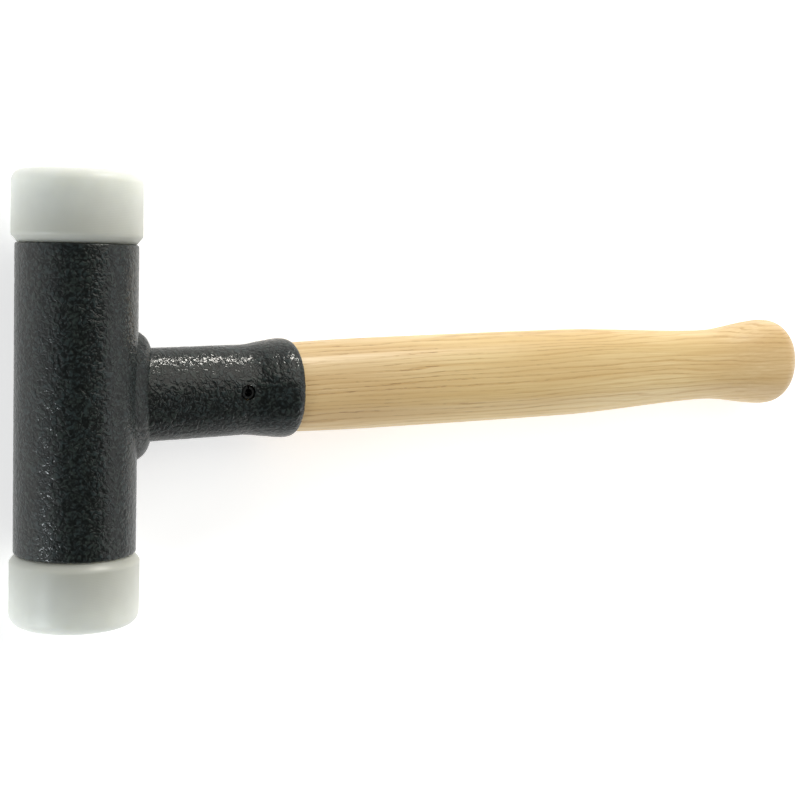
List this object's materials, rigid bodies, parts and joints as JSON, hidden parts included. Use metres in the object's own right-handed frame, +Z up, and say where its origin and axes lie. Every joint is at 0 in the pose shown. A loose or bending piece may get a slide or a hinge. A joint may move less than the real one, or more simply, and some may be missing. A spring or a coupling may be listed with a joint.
{
  "type": "recoilless soft-face hammer",
  "caption": "Dead-blow hammer lying on its side: shot-filled steel tube head with pressed-in white nylon faces, a flared welded socket and an oval wooden handle ending in a knob.",
  "frame": {"origin": "on the bench that the hammer lies on, below the middle of its overall length and width", "axes": "+X from the head towards the handle's knob, +Y along the head's axis towards the right-hand face (looking along the handle to the head), +Z up from the bench"},
  "size_m": [0.3749, 0.158, 0.045],
  "materials": {
    "hammertone_paint": "dark grey hammer-tone paint, glossy, with a cratered relief",
    "white_nylon": "turned white nylon, slightly translucent, satin",
    "ash_wood": "pale ash, sanded and clear-varnished",
    "pin_steel": "spring steel under the head's paint",
    "shot_steel": "bare steel shot"
  },
  "bodies": {
    "hammer": {"head_tube": "hammertone_paint", "striking_face_right": "white_nylon", "striking_face_left": "white_nylon", "handle_socket": "hammertone_paint", "weld_bead": "hammertone_paint", "handle": "ash_wood", "handle_pin": "pin_steel"},
    "shot": {"steel_shot": "shot_steel"}
  },
  "joints": [
    {"name": "shot_slide", "type": "slide", "parent": "hammer", "child": "shot", "axis": [0, 1, 0], "range_m": [-0.0101, 0.0101]}
  ]
}
